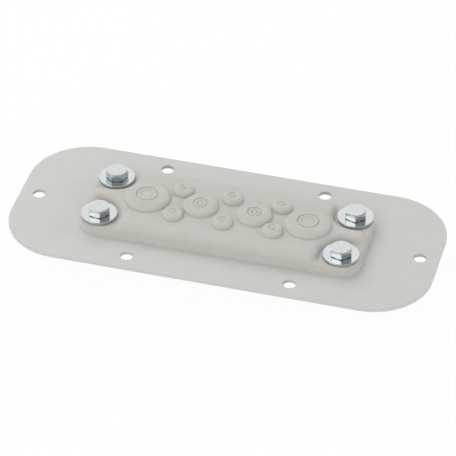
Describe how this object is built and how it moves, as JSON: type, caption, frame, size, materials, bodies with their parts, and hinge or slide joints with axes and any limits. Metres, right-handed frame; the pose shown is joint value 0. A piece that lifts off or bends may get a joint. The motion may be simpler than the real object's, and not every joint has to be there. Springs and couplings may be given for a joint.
{
  "type": "grommet wall plate",
  "caption": "Flat round-cornered wall plate with a screwed-on soft gland whose raised membranes seal round cables.",
  "frame": {"origin": "centre of the plate's back face, which lies against the wall, and of the four side fixing holes", "axes": "+X along the plate's length, +Y towards its rear long side, +Z out of the wall, towards the membranes"},
  "size_m": [0.212, 0.09, 0.0244],
  "materials": {
    "plate_coat": "satin powder coat, pale grey",
    "gland_rubber": "matt soft moulding, warm grey",
    "zinc_bolt": "bright zinc plate, drawn",
    "zinc_washer": "bright zinc plate, smooth"
  },
  "bodies": {
    "root": {"wall_plate": "plate_coat", "gland_block": "gland_rubber", "bolt_front_left": "zinc_bolt", "washer_front_left": "zinc_washer", "back_washer_front_left": "zinc_washer", "nut_front_left": "zinc_bolt", "bolt_front_right": "zinc_bolt", "washer_front_right": "zinc_washer", "back_washer_front_right": "zinc_washer", "nut_front_right": "zinc_bolt", "bolt_rear_left": "zinc_bolt", "washer_rear_left": "zinc_washer", "back_washer_rear_left": "zinc_washer", "nut_rear_left": "zinc_bolt", "bolt_rear_right": "zinc_bolt", "washer_rear_right": "zinc_washer", "back_washer_rear_right": "zinc_washer", "nut_rear_right": "zinc_bolt"}
  },
  "joints": []
}
